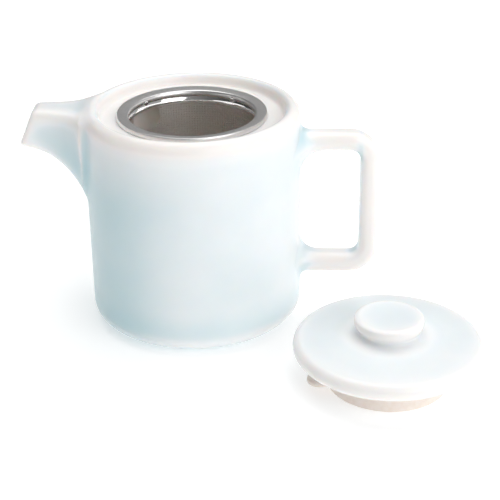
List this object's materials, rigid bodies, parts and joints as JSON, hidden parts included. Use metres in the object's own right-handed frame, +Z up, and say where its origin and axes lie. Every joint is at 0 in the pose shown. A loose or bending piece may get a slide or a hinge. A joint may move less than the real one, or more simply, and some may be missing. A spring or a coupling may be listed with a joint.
{
  "type": "teapot with infuser basket",
  "caption": "Straight-sided porcelain teapot with a beak spout and square loop handle, a drop-in steel infuser basket and a knobbed lid lying beside it.",
  "frame": {"origin": "centre of the pot's foot ring, on the surface that the pot stands on", "axes": "+Z up along the pot's axis, +X towards the handle, -X towards the spout"},
  "size_m": [0.2241, 0.1681, 0.1109],
  "materials": {
    "celadon_glaze": "gloss, pale blue where the glaze is thick and warm white where it is thin",
    "bare_porcelain": "smooth, warm white, thinly glazed",
    "satin_steel": "satin",
    "polished_steel": "polished",
    "mesh_steel": "etched mesh"
  },
  "bodies": {
    "pot": {"pot_body": "celadon_glaze", "spout": "celadon_glaze", "handle": "celadon_glaze"},
    "infuser": {"infuser_flange": "satin_steel", "infuser_collar": "polished_steel", "collar_spot_welds": "polished_steel", "mesh_wall": "mesh_steel", "mesh_wall_seam": "mesh_steel", "base_ring": "polished_steel", "base_mesh": "mesh_steel"},
    "lid": {"lid_disc": "celadon_glaze", "lid_skirt": "bare_porcelain", "lid_lug": "bare_porcelain", "lid_knob": "celadon_glaze"}
  },
  "joints": [
    {"name": "infuser_lift", "type": "slide", "parent": "pot", "child": "infuser", "axis": [0, 0, 1], "range_m": [0, 0.1]},
    {"name": "lid_lift", "type": "slide", "parent": "pot", "child": "lid", "axis": [0, 0, 1], "range_m": [0, 0.13]}
  ]
}
